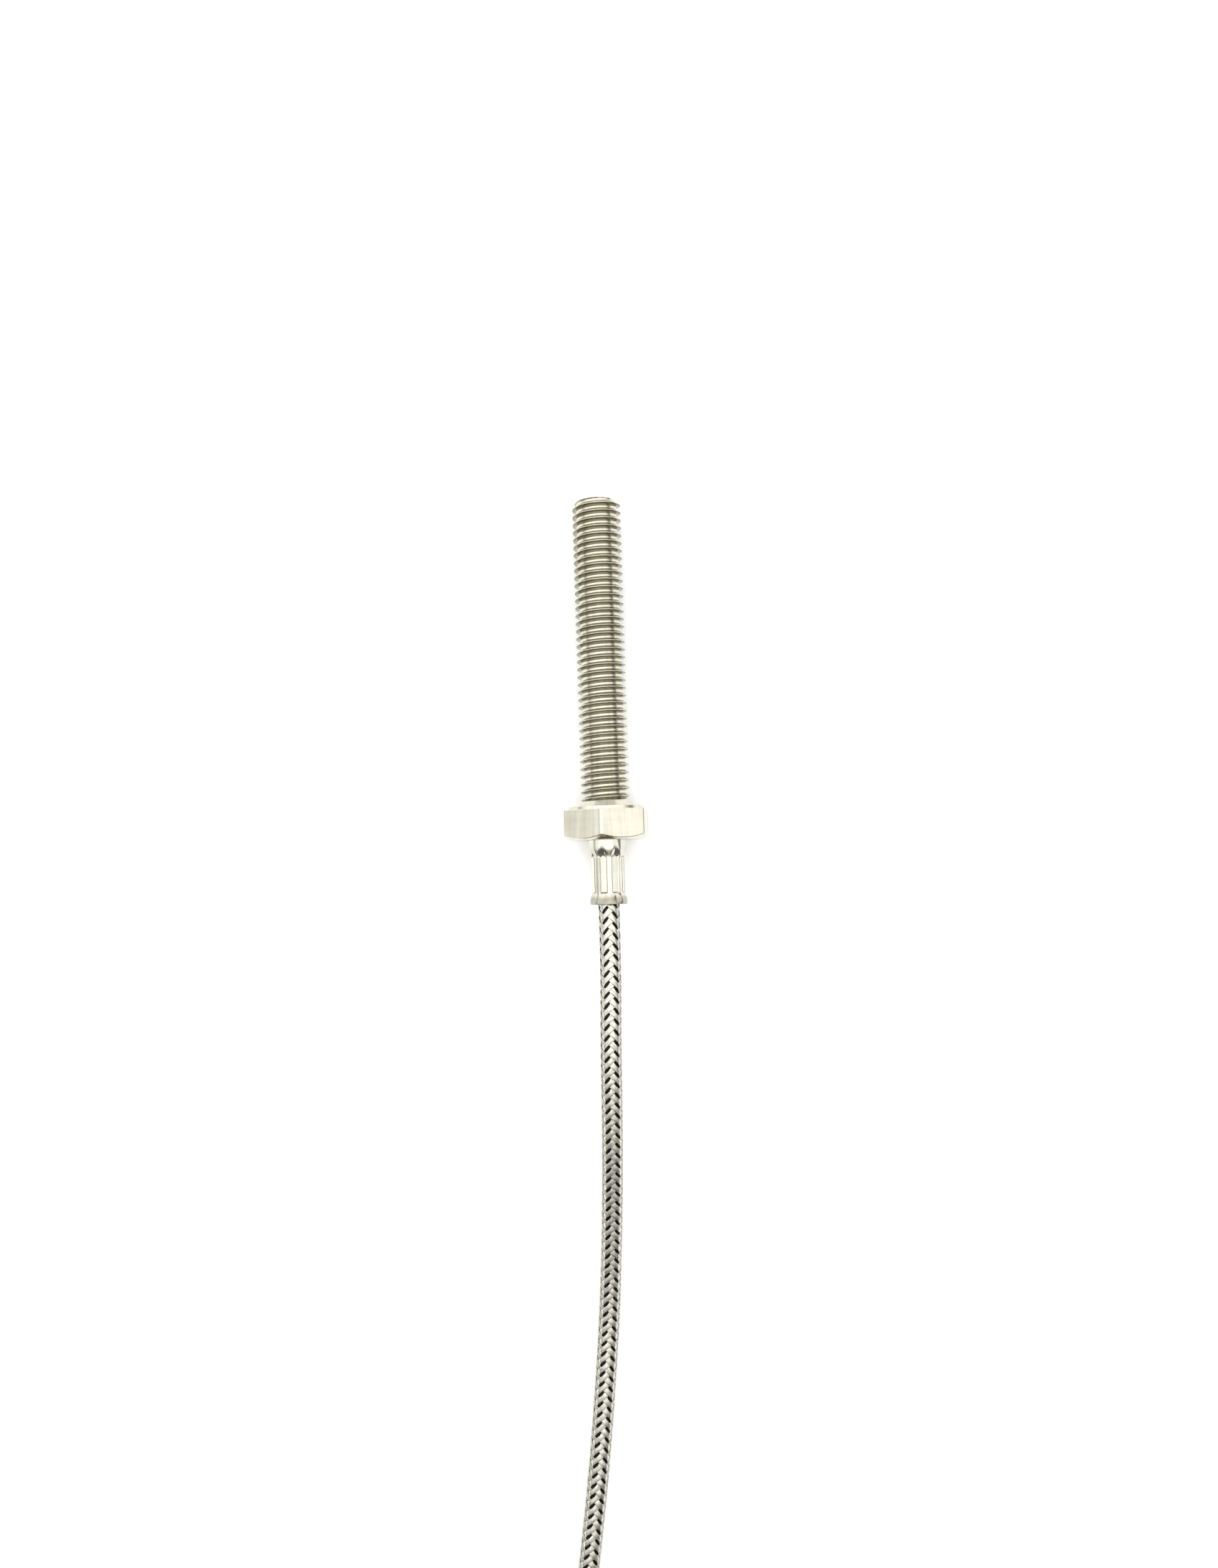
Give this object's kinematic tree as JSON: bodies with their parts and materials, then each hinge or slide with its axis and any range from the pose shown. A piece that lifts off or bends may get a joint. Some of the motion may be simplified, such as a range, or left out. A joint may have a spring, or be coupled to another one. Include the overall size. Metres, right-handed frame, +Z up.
{
  "type": "screw-in thermocouple",
  "caption": "Threaded hexagon-bolt temperature probe with a crimped swivelling ferrule and a metal-braided lead tied in a hank, ending in fork terminals.",
  "frame": {"origin": "centre of the bearing face under the bolt head, on the bolt axis", "axes": "the part lies on a flat surface as it rests on a table: +Z up, the bolt's tip towards +Y with its axis dipping 4.01 degrees below +Y, the lead towards -Y; the surface is at z = -7.41 mm"},
  "size_m": [0.0326, 0.2612, 0.0167],
  "materials": {
    "bolt_steel": "satin",
    "ferrule_steel": "gloss",
    "sheath_steel": "satin",
    "alumina": "matte",
    "thermo_alloy": "satin",
    "cement": "matte",
    "lead_braid": "satin",
    "glass_fibre": "matte",
    "tie_nylon": "matte",
    "tinned_copper": "gloss",
    "collar_red": "satin",
    "collar_blue": "satin"
  },
  "bodies": {
    "lead": {"crimp_ferrule": "ferrule_steel", "probe_sheath": "sheath_steel", "ceramic_insulator": "alumina", "hot_junction": "thermo_alloy", "wire_positive": "thermo_alloy", "wire_negative": "thermo_alloy", "tip_cement": "cement", "seal_plug": "cement", "braid_end": "lead_braid", "support_sleeve": "sheath_steel", "insulation_positive": "glass_fibre", "insulation_negative": "glass_fibre", "lead_cable": "lead_braid", "lead_hank": "lead_braid", "hank_tie": "tie_nylon", "end_sleeve": "ferrule_steel", "tail_positive": "glass_fibre", "tail_negative": "glass_fibre", "fork_positive": "tinned_copper", "fork_negative": "tinned_copper", "collar_positive": "collar_red", "collar_negative": "collar_blue"},
    "bolt": {"hex_bolt": "bolt_steel"}
  },
  "joints": [
    {"name": "bolt_swivel", "type": "hinge", "parent": "lead", "child": "bolt", "pos_m": [0, 0, 0], "axis": [0, 0.9976, -0.0699], "continuous": true}
  ]
}
